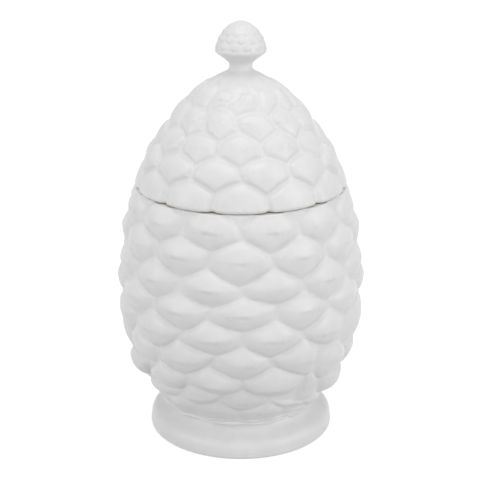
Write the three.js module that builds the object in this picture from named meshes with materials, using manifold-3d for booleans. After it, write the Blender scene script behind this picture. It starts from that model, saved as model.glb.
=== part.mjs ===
// A lidded storage jar of white glazed earthenware, shaped as a pine cone.
// Millimetres, +Z up. The origin is the middle of the foot, on the shelf it stands on.
// The front of the jar faces -Y, and angles round it are counted from there towards +X.
//
// It is made as a pottery makes it: the cone, the foot, the lid and the knob are separate
// castings. The foot is luted under the cone and the knob on the lid, each on a flat face.
// The lid sits loose on the rim, with a collar that goes down into the mouth.

import * as THREE from 'three';
import { mergeVertices } from 'three/addons/utils/BufferGeometryUtils.js';
import Module from 'manifold-3d';

// Heights, each from the face that the piece sits on
const footHeight = 19;
const coneHeight = 153;
const lidHeight = 74.5;
const knobHeight = 33.5;

// Radii of the cone along the bottom of the grooves between its scales
const hemRadius = 50;          // where it meets the foot
const underRadius = 55.5;      // its underside
const turnRadius = 60;         // where it turns up
const tuckRadius = 64.6;
const flankRadius = 72.5;
const bellyRadius = 79;        // widest
const shoulderRadius = 74.8;
const rimRadius = 68;          // shared by the cone's rim and the lid's edge

// And of the lid
const lipRadius = 65.8;
const domeRadius = 60.4;
const middleDomeRadius = 51.8;
const upperDomeRadius = 42.8;
const crownRadius = 27;
const knobSeatRadius = 12;     // shared by the lid's flat crown and the knob's base

// Walls of the cone
const coneWall = 5;
const coneFloor = 6;
const mouthRadius = 62.5;
const mouthDepth = 7;          // length of the straight mouth

// Walls of the lid, and the collar that locates it
const lidWall = 4.5;
const crownWall = 6;           // thickness under the knob
const collarGap = 1.3;         // all round, between the collar and the mouth
const collarDepth = 10;
const collarWall = 4.5;

// Foot, a ring with a hollow underside
const footRadius = 63;
const footSide = 5;            // height of the upright side
const footTaper = 0.4;         // the side leans in by this much
const footEase = 1.5;          // eased edge on the shelf
const footRimWidth = 6;        // the ring it stands on
const footBoreRadius = 43;     // opening under the cone's floor
const footFlange = 5.5;        // thickness under the hem
const footShoulder = 9;        // the shoulder is drawn this far up before it turns in
const coveReach = 5;           // and its cove runs out from the hem by this much
const coveDrop = 7.5;          // as it falls by this much

// Knob
const neckRadius = 7.6;
const neckFlare = 3.6;         // height of the flare where the neck stands on the lid
const neckTop = 6.6;           // from the lid to the cap's underside
const capRadius = 16.8;
const capHeight = 15.2;        // from the lid to the widest place of the cap
const capRoundness = 1.45;     // 2 makes the top of the cap an ellipse, less makes it pointed
const capTop = 0.94;           // share of the knob's height where the scales end

// The cap's underside from the neck to its widest place, as shares of its height and its reach
const capUnderside = [[0, 0.03], [0.21, 0.22], [0.47, 0.52], [0.72, 0.85], [0.86, 0.97], [1, 1]];

// Scales. Twelve stand round every row, and each row is half a scale further round.
const scalesRound = 12;
const scaleDrift = 1.1;        // unevenness of hand modelling, in degrees round the jar
const scaleShift = 0.8;        // and in height
const reliefDrift = 0.06;      // and in how far a scale stands out, as a share
const grooveBow = 1;           // a sloping groove bows up by this much between its corners
const fullScaleWidth = 32;     // a scale of the cone that is narrower than this stands out less
const fullScaleHeight = 18;    // and so does one that is lower than this

// How a scale rises from its edges: across it, on the face above its ridge and on the one below
const coneScale = { side: 2, top: 1.9, under: 1.35 };
const lidScale = { side: 4, top: 2.6, under: 2.4 };
const knobScale = { side: 2, top: 2, under: 2 };

// Rows of scales, from the top down. The level of a row's ridge is a share of its piece's
// height. Relief is how far its scales stand out, and a row with none is plain. The edge is
// the upright groove between neighbours.
const coneRows = [
  { level: 1.045, relief: 0.0, edge: 6.5 },
  { level: 0.928, relief: 4.6, edge: 9.5 },
  { level: 0.816, relief: 5.0, edge: 8.5 },
  { level: 0.695, relief: 5.0, edge: 8.0 },
  { level: 0.587, relief: 5.0, edge: 6.5 },
  { level: 0.478, relief: 5.0, edge: 6.5 },
  { level: 0.373, relief: 5.0, edge: 6.5 },
  { level: 0.258, relief: 5.0, edge: 6.5 },
  { level: 0.162, relief: 4.2, edge: 6.0 },
  { level: 0.088, relief: 1.8, edge: 5.0 },
];
const lidRows = [
  { level: 0.953, relief: 0.4, edge: 5.0 },
  { level: 0.839, relief: 1.7, edge: 9.5 },
  { level: 0.664, relief: 2.4, edge: 10.0 },
  { level: 0.472, relief: 2.9, edge: 7.0 },
  { level: 0.289, relief: 3.4, edge: 6.5 },
  { level: 0.040, relief: 3.0, edge: 15.0 },
  { level: -0.45, relief: 0.0, edge: 6.5 },
];
const knobRows = [
  { level: 0.79, relief: 0.6, edge: 1.5 },
  { level: 0.665, relief: 0.7, edge: 1.5 },
  { level: 0.54, relief: 0.6, edge: 1.5 },
];
const coneOverrun = 0.1;       // the cone's rows run past the rim by this share of its height
const lidOverrun = 0.6;        // and the lid's past its seat by this share of its own

// Corners that the modeller set well off the even rows. Each is named by the scale that has it
// as its lower corner, its tip, or as its upper one, its peak: the row, the column, and how far
// it is off, in degrees round the jar and in height.
const coneStrays = {
  tip: [
    [2, 0, 0, -1], [3, 0, 3, 4], [3, 11, 1, 1], [4, 0, 2, 3.5], [4, 11, 2, -1],
    [5, 9, 4, -4], [5, 10, 0, -2], [5, 11, 3, 1], [5, 1, -0.5, 1.5], [5, 2, -4, -11],
    [6, 9, 5, -4], [6, 10, 7, 1], [6, 0, 2, 1], [6, 1, 4, -0.5], [6, 2, -8, -11],
    [7, 9, 4, -4], [7, 10, 7, -1], [7, 11, 4, 1], [7, 0, 2, 0.5], [7, 1, 0, -12], [7, 2, -4, -13.5],
    [8, 1, 0, -2], [8, 2, 0, -10], [6, 8, 5, -2], [7, 8, 5, -2],
  ],
  peak: [
    [6, 2, -4, -12], [7, 9, 4, -4], [7, 10, 0, -4], [7, 1, -7, -11], [7, 2, -5, -16],
    [8, 9, 5, -4], [8, 10, -3, -5], [8, 11, 2, -1], [8, 1, 3, -10], [8, 2, -6, -19],
    [7, 8, 5, -2], [8, 8, 5, -2], [9, 9, 4, -4], [9, 10, 7, -1], [9, 11, 3, 1], [9, 0, 2, 0],
    [9, 1, 0, -11.5], [9, 2, -4, -13],
  ],
};
// From the right flank round to the back the lower rows sag together, most at the flank. Each
// corner has its own turn and height, and each column its share of them.
const coneSag = {
  tip: [[5, -9, -13], [6, -10, -17], [7, -6, -15], [8, -2, -11]],
  peak: [[6, -6, -17], [7, -8, -17], [8, -8, -20], [9, -4, -14]],
};
const sagShares = [[3, 1], [4, 0.85], [5, 0.6], [6, 0.35], [7, 0.15]];
const flankBow = -2.5;         // on both flanks the grooves bow the other way, round full scales
const flankAngles = [30, 50];  // this far round from the front the flanks begin
const flankLevels = [80, 96];  // they end at this height
const hemLevels = [24, 34];    // and near the hem, where the rows are low, their grooves run straight

const lidStrays = {
  tip: [
    [0, 10, 8, 0], [0, 11, 10, -2.5], [0, 0, 7, -1], [0, 1, 7, -3],
    [1, 11, -6, -1], [1, 0, -5, 0], [1, 1, -3, -1], [1, 2, -4, 0],
    [2, 11, -2, 0], [2, 0, 0, 1], [3, 0, 0, 2], [3, 1, 0, 2.5],
  ],
  peak: [
    [1, 0, 10, -2], [2, 10, 5, -1], [2, 11, -1, 1], [2, 0, 2, -2], [2, 2, -6, -5],
    [3, 11, 1, 0], [3, 0, -2, 1], [3, 1, 2, 0.5], [3, 2, -2, -2],
  ],
};
const noStrays = { tip: [], peak: [] };
for (const end of ['tip', 'peak']) {
  for (const [row, turn, rise] of coneSag[end]) {
    coneStrays[end].push(...sagShares.map(([column, share]) => [row, column, turn * share, rise * share]));
  }
}

// Where a scale's surface is sampled, from -1 to 1 across it and up it. The stations across
// are alike from either end of a groove, so that neighbouring scales share their corners.
const scaleStations = {
  across: [-1, -0.75, -0.25, 0, 0.25, 0.75, 1],
  up: [-1, -0.8, 0, 0.6, 1],
};
const knobStations = { across: [-1, -0.5, 0, 0.5, 1], up: [-1, -0.5, 0, 0.5, 1] };
const turnedSides = 48;        // facets round a turned surface
const wallSteps = 10;          // facets up the inside of a wall
const curveSteps = 5;
const outside = 120;           // a radius outside everything, to cut from

const { degToRad, lerp, smoothstep } = THREE.MathUtils;
const wasm = await Module();
wasm.setup();

// Makes a closed geometry a solid that can be cut
function solidOf(geometry) {
  geometry.deleteAttribute('normal');
  geometry.deleteAttribute('uv');
  const welded = mergeVertices(geometry, 1e-4);
  const corners = [];
  for (let k = 0; k < welded.index.count; k += 3) {
    const [a, b, c] = welded.index.array.slice(k, k + 3);
    if (a !== b && b !== c && c !== a) corners.push(a, b, c);
  }
  const vertProperties = new Float32Array(welded.attributes.position.array);
  return new wasm.Manifold(new wasm.Mesh({ numProp: 3, vertProperties, triVerts: new Uint32Array(corners) }));
}

function geometryOf(solid) {
  const mesh = solid.getMesh();
  const geometry = new THREE.BufferGeometry();
  geometry.setAttribute('position', new THREE.BufferAttribute(mesh.vertProperties, 3));
  geometry.setIndex(new THREE.BufferAttribute(mesh.triVerts, 1));
  geometry.computeVertexNormals();
  return geometry;
}

// Turns a closed section of [radius, height] points, run counter-clockwise, into a solid
function turned(section) {
  const loop = [...section, section[0]].map(([radius, height]) => new THREE.Vector2(radius, height));
  return solidOf(new THREE.LatheGeometry(loop, turnedSides).rotateX(Math.PI / 2));
}

// A smooth line through [height, radius] stations, read as the radius at any height
function smoothThrough(stations) {
  const last = stations.length - 1;
  const slopeAt = (k) => {
    const [z0, r0] = stations[Math.max(k - 1, 0)];
    const [z1, r1] = stations[Math.min(k + 1, last)];
    return (r1 - r0) / (z1 - z0);
  };
  return (height) => {
    const [[bottom, bottomRadius], [top, topRadius]] = [stations[0], stations[last]];
    if (height <= bottom) return bottomRadius + slopeAt(0) * (height - bottom);
    if (height >= top) return topRadius + slopeAt(last) * (height - top);
    const k = stations.findIndex(([z]) => z > height) - 1;
    const [[z0, r0], [z1, r1]] = [stations[k], stations[k + 1]];
    const t = (height - z0) / (z1 - z0);
    const bend = (z1 - z0) * t * (1 - t) * (slopeAt(k) * (1 - t) - slopeAt(k + 1) * t);
    return lerp(r0, r1, t * t * (3 - 2 * t)) + bend;
  };
}

// The outward direction of an outline at a height, as [radial, upright]
function outwardAt(outline, height) {
  const step = 0.05;
  const slope = (outline(height + step) - outline(height - step)) / (2 * step);
  return [1 / Math.hypot(1, slope), -slope / Math.hypot(1, slope)];
}

// Points a wall's thickness inside an outline, from one height to another
function insideOf(outline, wall, from, to) {
  return Array.from({ length: wallSteps + 1 }, (_, k) => {
    const height = lerp(from, to, k / wallSteps);
    const [radial, upright] = outwardAt(outline, height);
    return [outline(height) - wall * radial, height - wall * upright];
  });
}

function bezier(...points) {
  const [a, b, c, d] = points.map(([radius, height]) => new THREE.Vector2(radius, height));
  return new THREE.CubicBezierCurve(a, b, c, d).getPoints(curveSteps).map(({ x, y }) => [x, y]);
}

// How far a scale stands out at a place on it, from 0 in its grooves to 1 at the middle of its ridge
function standOut(across, up, shape) {
  const ridge = 1 - Math.abs(across) ** shape.side;
  const face = up > 0 ? 1 - up ** shape.top : 1 - (-up) ** shape.under;
  return ridge * face;
}

// A solid covered with rows of scales. The outline is the line of its grooves. The first row is
// turned by half a scale or not. Plain rings may follow below the last row, and the top may be
// drawn up to a crest.
function scaledSolid({
  outline, rows, top, crest = top, base, rings = [], firstTurned, shape, stations,
  bowAt = () => grooveBow, strays = noStrays, fullSize,
}) {
  const pitch = 360 / scalesRound;
  const turnOf = (row) => (row + firstTurned + 2) % 2;

  // Hand modelling leaves each corner a little off its place, the same each time
  const uneven = (row, column, salt) => {
    const place = (column + scalesRound) % scalesRound;
    return Math.sin(12.7 * (row + 2) + 31.1 * place + 7.4 * salt);
  };
  // What a stray corner adds to that, as [degrees, height]
  const strayOf = (end, row, column) => {
    const place = (column + scalesRound) % scalesRound;
    const found = strays[end].find(([strayRow, strayColumn]) => strayRow === row && strayColumn === place);
    return found ? found.slice(2) : [0, 0];
  };
  const cornerAt = (end, row, column, height, salt) => {
    const [turn, rise] = strayOf(end, row, column);
    const angle = pitch * (column + turnOf(row) / 2) + scaleDrift * uneven(row, column, salt);
    return [angle + turn, height + rise];
  };
  // A scale's upper corner is the foot of the upright groove in the row above it,
  // and its lower corner is the head of the one in the row below
  const peak = (row, column) => {
    if (row === 0) return cornerAt('peak', row, column, top, 1);
    if (row === rows.length) return cornerAt('peak', row, column, base, 1);
    const { height, edge } = rows[row - 1];
    return cornerAt('peak', row, column, height - edge / 2 + scaleShift * uneven(row, column, 2), 1);
  };
  const tip = (row, column) => {
    if (row === -1) return cornerAt('tip', row, column, top, 3);
    if (row === rows.length - 1) return cornerAt('tip', row, column, base, 3);
    const { height, edge } = rows[row + 1];
    return cornerAt('tip', row, column, height + edge / 2 + scaleShift * uneven(row, column, 4), 3);
  };

  const between = (a, b, t) => [lerp(a[0], b[0], t), lerp(a[1], b[1], t)];
  const placeAt = ([angle, height], relief) => {
    const [radial, upright] = outwardAt(outline, height);
    const radius = outline(height) + relief * radial;
    const turn = degToRad(angle);
    return [radius * Math.sin(turn), -radius * Math.cos(turn), height + relief * upright];
  };

  const lastRow = rows.length - 1;
  const positions = [];
  const triangle = (a, b, c) => positions.push(...a, ...b, ...c);
  const quad = (a, b, c, d, foldAtB) => {
    triangle(a, b, foldAtB ? d : c);
    triangle(foldAtB ? b : a, c, d);
  };

  rows.forEach((row, index) => {
    for (let column = 0; column < scalesRound; column += 1) {
      const left = column - 1 + turnOf(index);
      const right = left + 1;
      const [upper, lower] = [peak(index, column), tip(index, column)];
      const [upperLeft, lowerLeft] = [tip(index - 1, left), peak(index + 1, left)];
      const [upperRight, lowerRight] = [tip(index - 1, right), peak(index + 1, right)];
      // The middle of the ridge goes up and down with the corners round it. In the last row the
      // lower ones lie on the hem and don't move, so the others count for more.
      const rise = [
        ['peak', index, column], ['tip', index, column], ['tip', index - 1, left], ['tip', index - 1, right],
        ['peak', index + 1, left], ['peak', index + 1, right],
      ].reduce((sum, corner) => sum + strayOf(...corner)[1], 0) / (index === lastRow ? 4.8 : 6);
      const middle = [(upper[0] + lower[0]) / 2, row.height + rise];
      const width = degToRad(upperRight[0] - upperLeft[0]) * outline(middle[1]);
      const smallness = fullSize
        ? Math.min(1, width / fullSize.width) * Math.min(1, (upper[1] - lower[1]) / fullSize.height) : 1;
      const relief = row.relief * smallness * (1 + reliefDrift * uneven(index, column, 5));
      const grid = stations.up.map((up) => stations.across.map((across) => {
        const [upperSide, lowerSide] = across < 0 ? [upperLeft, lowerLeft] : [upperRight, lowerRight];
        const share = Math.abs(across);
        const ridge = between(middle, between(upperSide, lowerSide, 0.5), share);
        const [corner, side] = up > 0 ? [upper, upperSide] : [lower, lowerSide];
        const edge = between(corner, side, share);
        const level = up > 0 ? index === 0 : index === lastRow;
        if (!level) edge[1] += bowAt(...between(corner, side, 0.5)) * 4 * share * (1 - share);
        return placeAt(between(ridge, edge, Math.abs(up)), relief * standOut(across, up, shape));
      }));
      // Each face folds along the line that runs out from the middle of the scale
      for (let i = 0; i < stations.up.length - 1; i += 1) {
        for (let k = 0; k < stations.across.length - 1; k += 1) {
          const foldAtB = (stations.up[i] < 0) !== (stations.across[k] < 0);
          quad(grid[i][k], grid[i][k + 1], grid[i + 1][k + 1], grid[i + 1][k], foldAtB);
        }
      }
    }
  });

  // The level line round the top or the base, sampled as the scales beside it are
  const levelAngles = (corner, sideCorner, row) => Array.from({ length: scalesRound }, (_, column) => {
    const left = column - 1 + turnOf(row);
    return stations.across.slice(0, -1).map((across) => {
      const side = sideCorner(across < 0 ? left : left + 1);
      return lerp(corner(row, column)[0], side[0], Math.abs(across));
    });
  }).flat();
  const topAngles = levelAngles(peak, (column) => tip(-1, column), 0);
  const baseAngles = levelAngles(tip, (column) => peak(rows.length, column), lastRow);

  const around = (angles, visit) => {
    angles.forEach((angle, k) => visit(angle, angles[(k + 1) % angles.length]));
  };
  around(topAngles, (a, b) => triangle(placeAt([a, top], 0), placeAt([b, top], 0), [0, 0, crest]));
  const levels = [base, ...rings];
  for (let k = 0; k < rings.length; k += 1) {
    around(baseAngles, (a, b) => quad(
      placeAt([a, levels[k + 1]], 0), placeAt([b, levels[k + 1]], 0),
      placeAt([b, levels[k]], 0), placeAt([a, levels[k]], 0), false,
    ));
  }
  const floor = levels.at(-1);
  around(baseAngles, (a, b) => triangle(placeAt([b, floor], 0), placeAt([a, floor], 0), [0, 0, floor]));

  const geometry = new THREE.BufferGeometry();
  geometry.setAttribute('position', new THREE.Float32BufferAttribute(positions, 3));
  return solidOf(geometry);
}

const rowsOn = (rows, seat, height) => rows.map((row) => ({ ...row, height: seat + height * row.level }));

const hemLevel = footHeight;
const rimLevel = hemLevel + coneHeight;
const crownLevel = rimLevel + lidHeight;
const coneOutline = smoothThrough([
  [hemLevel, hemRadius],
  [hemLevel + 0.05 * coneHeight, underRadius],
  [hemLevel + 0.10 * coneHeight, turnRadius],
  [hemLevel + 0.17 * coneHeight, tuckRadius],
  [hemLevel + 0.27 * coneHeight, flankRadius],
  [hemLevel + 0.50 * coneHeight, bellyRadius],
  [hemLevel + 0.81 * coneHeight, shoulderRadius],
  [rimLevel, rimRadius],
]);
const lidOutline = smoothThrough([
  [rimLevel, rimRadius],
  [rimLevel + 0.10 * lidHeight, lipRadius],
  [rimLevel + 0.28 * lidHeight, domeRadius],
  [rimLevel + 0.46 * lidHeight, middleDomeRadius],
  [rimLevel + 0.64 * lidHeight, upperDomeRadius],
  [rimLevel + 0.87 * lidHeight, crownRadius],
  [crownLevel, knobSeatRadius],
]);

// The foot: an upright side, a shoulder that runs in under the cone, and a hollow underside
function footRing() {
  const innerRadius = footRadius - footRimWidth;
  return turned([
    [innerRadius + footEase, 0],
    [footRadius - footEase, 0],
    [footRadius, footEase],
    ...bezier(
      [footRadius - footTaper, footSide], [footRadius - footTaper, footSide + footShoulder],
      [hemRadius + coveReach, footHeight - coveDrop], [hemRadius, footHeight],
    ),
    [footBoreRadius, footHeight],
    ...bezier(
      [footBoreRadius, footHeight - footFlange], [footBoreRadius + 8, footHeight - footFlange],
      [innerRadius, footSide], [innerRadius, footEase],
    ),
  ]);
}

// How far the cone's grooves bow up at an angle and a height
function coneBow(angle, height) {
  const aside = Math.abs(THREE.MathUtils.euclideanModulo(angle + 180, 360) - 180);
  const onFlank = smoothstep(aside, ...flankAngles) * (1 - smoothstep(height, ...flankLevels));
  return lerp(grooveBow, flankBow, onFlank) * smoothstep(height, ...hemLevels);
}

// The cone: scales outside, turned smooth inside, with a flat rim and a straight mouth
function jarBody() {
  const scaled = scaledSolid({
    outline: coneOutline,
    rows: rowsOn(coneRows, hemLevel, coneHeight),
    top: rimLevel + coneOverrun * coneHeight,
    base: hemLevel,
    firstTurned: 0,
    shape: coneScale,
    stations: scaleStations,
    strays: coneStrays,
    bowAt: coneBow,
    fullSize: { width: fullScaleWidth, height: fullScaleHeight },
  });
  const floorLevel = hemLevel + coneFloor;
  const cavity = insideOf(coneOutline, coneWall, hemLevel, rimLevel - 2 * mouthDepth)
    .filter(([, height]) => height > floorLevel);
  const blank = turned([
    [0, hemLevel],
    [outside, hemLevel],
    [outside, rimLevel],
    [mouthRadius, rimLevel],
    [mouthRadius, rimLevel - mouthDepth],
    ...cavity.reverse(),
    [cavity.at(-1)[0] - coneWall, floorLevel],
    [0, floorLevel],
  ]);
  return scaled.intersect(blank);
}

// The lid: a scaled dome with a flat crown for the knob, and the collar under its seat
function lid() {
  const scaled = scaledSolid({
    outline: lidOutline,
    rows: rowsOn(lidRows, rimLevel, lidHeight),
    top: crownLevel,
    base: rimLevel - lidOverrun * lidHeight,
    firstTurned: 1,
    shape: lidScale,
    stations: scaleStations,
    strays: lidStrays,
  });
  const collarRadius = mouthRadius - collarGap;
  const boreRadius = collarRadius - collarWall;
  const hollow = insideOf(lidOutline, lidWall, rimLevel, crownLevel)
    .filter(([radius, height]) => radius < boreRadius && height < crownLevel - crownWall);
  const blank = turned([
    [0, crownLevel - crownWall],
    ...hollow.reverse(),
    [boreRadius, rimLevel],
    [boreRadius, rimLevel - collarDepth],
    [collarRadius, rimLevel - collarDepth],
    [collarRadius, rimLevel],
    [outside, rimLevel],
    [outside, crownLevel],
    [0, crownLevel],
  ]);
  return scaled.intersect(blank);
}

// The knob: a small cone of its own on a waisted neck
function lidKnob() {
  const underside = smoothThrough([
    [0, neckRadius],
    [neckFlare, neckRadius],
    ...capUnderside.map(([rise, reach]) => (
      [lerp(neckTop, capHeight, rise), lerp(neckRadius, capRadius, reach)]
    )),
  ]);
  const outline = (level) => {
    const height = level - crownLevel;
    if (height < neckFlare) {
      return neckRadius + (knobSeatRadius - neckRadius) * (1 - height / neckFlare) ** 2;
    }
    if (height < capHeight) return underside(height);
    const rise = Math.min((height - capHeight) / (knobHeight - capHeight), 1);
    return capRadius * Math.sqrt(1 - rise ** capRoundness);
  };
  const ringShares = [0.86, 0.71, 0.56, 0.44, 0.24, 0.1, 0];
  return scaledSolid({
    outline,
    rows: rowsOn(knobRows, crownLevel, knobHeight),
    top: crownLevel + capTop * knobHeight,
    crest: crownLevel + knobHeight,
    base: crownLevel + capHeight,
    rings: ringShares.map((share) => crownLevel + share * capHeight),
    firstTurned: 1,
    shape: knobScale,
    stations: knobStations,
    bowAt: () => 0,
  });
}

function piece(name, solid, colour, roughness) {
  const material = new THREE.MeshStandardMaterial({ color: colour, roughness, metalness: 0 });
  const mesh = new THREE.Mesh(geometryOf(solid), material);
  mesh.name = name;
  return mesh;
}

const jar = new THREE.Group();
jar.add(piece('jar_body', jarBody(), 0xe8e8e6, 0.5));
jar.add(piece('foot_ring', footRing(), 0xe6e6e4, 0.5));
jar.add(piece('lid', lid(), 0xeaeae8, 0.5));
jar.add(piece('lid_knob', lidKnob(), 0xeaeae8, 0.5));

export default jar;
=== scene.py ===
# Looks of a lidded storage jar of white glazed earthenware, shaped as a pine cone.
# Sizes here are in millimetres, and each point is turned to metres as it is placed.
# The front of the jar faces -Y, and angles round it are counted from there towards +X.

import math
from collections import namedtuple

import bmesh
import bpy
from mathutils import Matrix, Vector, noise


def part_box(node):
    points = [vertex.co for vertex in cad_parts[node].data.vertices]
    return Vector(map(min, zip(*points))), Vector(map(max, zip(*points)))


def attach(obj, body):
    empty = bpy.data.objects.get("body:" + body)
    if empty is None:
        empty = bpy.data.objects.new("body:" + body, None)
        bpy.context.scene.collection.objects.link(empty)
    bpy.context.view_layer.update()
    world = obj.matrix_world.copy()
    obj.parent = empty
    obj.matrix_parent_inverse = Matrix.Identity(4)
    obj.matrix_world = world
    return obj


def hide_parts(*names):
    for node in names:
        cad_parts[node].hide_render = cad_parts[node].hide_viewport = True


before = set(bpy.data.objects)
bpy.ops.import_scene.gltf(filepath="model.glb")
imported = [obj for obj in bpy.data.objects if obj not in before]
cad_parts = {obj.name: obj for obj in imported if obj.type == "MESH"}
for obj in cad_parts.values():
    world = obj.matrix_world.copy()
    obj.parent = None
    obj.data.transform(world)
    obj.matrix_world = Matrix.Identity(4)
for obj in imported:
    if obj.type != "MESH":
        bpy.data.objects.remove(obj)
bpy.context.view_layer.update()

MM = 0.001


# Camera and lamps

def metres(x, y, z):
    return Vector((x, y, z)) * MM


def aim(thing, place, target):
    thing.location = place
    thing.rotation_euler = (target - place).to_track_quat("-Z", "Y").to_euler()


def add_camera():
    """The photograph was taken from about 870 mm away, looking down at about 19 degrees, with the
    jar's axis a hair off the middle of the picture."""
    distance, tilt, target_height = 870, math.radians(19.2), 132.1
    sensor_width, lens, off_middle = 36, 96.75, -0.0018
    camera = bpy.data.objects.new("camera", bpy.data.cameras.new("camera"))
    bpy.context.scene.collection.objects.link(camera)
    camera.data.sensor_width = sensor_width
    camera.data.lens = lens
    camera.data.shift_x = off_middle
    target = metres(0, 0, target_height)
    away = metres(0, -distance * math.cos(tilt), distance * math.sin(tilt))
    aim(camera, target + away, target)
    bpy.context.scene.camera = camera


def add_softbox(name, place, width, height, power):
    """A soft lamp that faces the middle of the jar"""
    middle_height = 140
    lamp = bpy.data.lights.new(name, "AREA")
    lamp.shape = "RECTANGLE"
    lamp.size, lamp.size_y = width * MM, height * MM
    lamp.energy = power
    box = bpy.data.objects.new(name, lamp)
    bpy.context.scene.collection.objects.link(box)
    aim(box, metres(*place), metres(0, 0, middle_height))


add_camera()
add_softbox("softbox_front", (0, -1700, 300), 1200, 700, 3.4)
add_softbox("softbox_above", (0, -200, 1500), 900, 900, 3.4)
add_softbox("softbox_left", (-1400, -700, 700), 800, 1100, 4.0)
add_softbox("softbox_right", (1400, -700, 600), 800, 1100, 5.5)
add_softbox("softbox_back", (0, 1200, 1100), 1600, 700, 1.2)


# Levels, from the frame

def level_of(node, end):
    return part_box(node)[end].z / MM


BOTTOM, TOP = 0, 1
HEM = level_of("jar_body", BOTTOM)
RIM = level_of("jar_body", TOP)
COLLAR_END = level_of("lid", BOTTOM)
CROWN = level_of("lid_knob", BOTTOM)
CREST = level_of("lid_knob", TOP)
CONE_HEIGHT = RIM - HEM
LID_HEIGHT = CROWN - RIM
KNOB_HEIGHT = CREST - CROWN

# Walls and radii, the same as in the solids

CONE_WALL = 5.0
CONE_FLOOR = 6.0
MOUTH_RADIUS = 62.5
MOUTH_DEPTH = 7.0
LID_WALL = 4.5
CROWN_WALL = 6.0
COLLAR_RADIUS = MOUTH_RADIUS - 1.3
COLLAR_BORE = COLLAR_RADIUS - 4.5
HEM_RADIUS = 50.0
KNOB_SEAT_RADIUS = 12.0

# Edges, which the solids leave sharp
EDGE_EASE = 1.0         # rounding of the collar's and the mouth's edges
RIM_EASE = 1.3          # and of the cone's rim
LID_EASE = 2.2          # and of the lid's lower edge
SEAT_RELIEF = 0.8       # the outer part of the seat stands off the rim by this much


# Outlines, each the line of the grooves between the scales

def lerp(a, b, t):
    return a + (b - a) * t


def smooth(t):
    t = min(max(t, 0.0), 1.0)
    return t * t * (3 - 2 * t)


def ramp(value, start, end):
    """0 up to the start, 1 from the end on, and a soft slope between them"""
    return smooth((value - start) / (end - start))


def smooth_through(stations):
    """A smooth line through (height, radius) stations, read as the radius at any height"""
    last = len(stations) - 1

    def slope_at(k):
        (z0, r0), (z1, r1) = stations[max(k - 1, 0)], stations[min(k + 1, last)]
        return (r1 - r0) / (z1 - z0)

    def radius_at(height):
        if height <= stations[0][0]:
            return stations[0][1] + slope_at(0) * (height - stations[0][0])
        if height >= stations[last][0]:
            return stations[last][1] + slope_at(last) * (height - stations[last][0])
        k = next(k for k in range(last) if stations[k + 1][0] > height)
        (z0, r0), (z1, r1) = stations[k], stations[k + 1]
        t = (height - z0) / (z1 - z0)
        bend = (z1 - z0) * t * (1 - t) * (slope_at(k) * (1 - t) - slope_at(k + 1) * t)
        return lerp(r0, r1, t * t * (3 - 2 * t)) + bend

    return radius_at


def along(start, height, stations):
    """The same, with the heights as shares of a piece that begins at a level"""
    return smooth_through([(start + share * height, radius) for share, radius in stations])


cone_outline = along(HEM, CONE_HEIGHT, [
    (0, HEM_RADIUS), (0.05, 55.5), (0.10, 60), (0.17, 64.6), (0.27, 72.5), (0.50, 79), (0.81, 74.8),
    (1, 68),
])
lid_outline = along(RIM, LID_HEIGHT, [
    (0, 68), (0.10, 65.8), (0.28, 60.4), (0.46, 51.8), (0.64, 42.8), (0.87, 27.0), (1, KNOB_SEAT_RADIUS),
])


NECK_RADIUS, NECK_FOOT, NECK_TOP = 7.6, 3.6, 6.6
CAP_RADIUS, CAP_LEVEL = 16.8, 15.2
CAP_ROUNDNESS = 1.45    # 2 would make the top of the cap an ellipse, and less makes it pointed

under_cap = smooth_through([
    (0, NECK_RADIUS), (NECK_FOOT, NECK_RADIUS), (NECK_TOP, NECK_RADIUS + 0.3), (8.4, 9.6), (10.6, 12.4),
    (12.8, 15.4), (14.0, 16.5), (CAP_LEVEL, CAP_RADIUS), (CAP_LEVEL + 1, CAP_RADIUS),
])


def knob_outline(level):
    """A waisted neck with a short straight stretch, the cone of the cap's underside, a rounded
    edge and the full round top"""
    height = level - CROWN
    if height < NECK_FOOT:
        return NECK_RADIUS + (KNOB_SEAT_RADIUS - NECK_RADIUS) * (1 - height / NECK_FOOT) ** 2
    if height < CAP_LEVEL:
        return under_cap(height)
    rise = min((height - CAP_LEVEL) / (KNOB_HEIGHT - CAP_LEVEL), 1)
    return CAP_RADIUS * math.sqrt(1 - rise ** CAP_ROUNDNESS)


def outward_at(outline, height):
    """The outward direction of an outline at a height, as (radial, upright)"""
    step = 0.05
    slope = (outline(height + step) - outline(height - step)) / (2 * step)
    return 1 / math.hypot(1, slope), -slope / math.hypot(1, slope)


def place_at(outline, angle, height, relief):
    """A point on an outline, or off it by the relief"""
    radial, upright = outward_at(outline, height)
    radius = outline(height) + relief * radial
    turn = math.radians(angle)
    return metres(radius * math.sin(turn), -radius * math.cos(turn), height + relief * upright)


# Scales. Twelve stand round every row, and each row is half a scale further round.

SCALES_ROUND = 12
PITCH = 360 / SCALES_ROUND
DRIFT = 1.1             # unevenness of hand modelling, in degrees round the jar
SHIFT = 0.8             # and in height

# Rows from the top down: the share of the height at which a row's ridge lies, how far its scales
# stand out, and the length of the upright groove between neighbours
CONE_ROWS = [
    (1.045, 1.6, 6.5), (0.928, 5.0, 9.5), (0.816, 5.0, 8.5), (0.695, 5.0, 8.0), (0.587, 5.0, 6.5),
    (0.478, 5.0, 6.5), (0.373, 5.0, 6.5), (0.258, 5.0, 6.5), (0.162, 4.0, 6.0), (0.088, 1.5, 5.0),
]
LID_ROWS = [
    (0.953, 0.4, 5.0), (0.839, 1.7, 9.5), (0.664, 2.4, 10.0), (0.472, 2.9, 7.0), (0.289, 3.4, 6.5),
    (0.040, 3.0, 15.0), (-0.45, 0.0, 6.5),
]
KNOB_ROWS = [(0.915, 0.3, 1.0), (0.79, 0.8, 1.5), (0.665, 1.0, 1.5), (0.54, 0.8, 1.5)]

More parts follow.
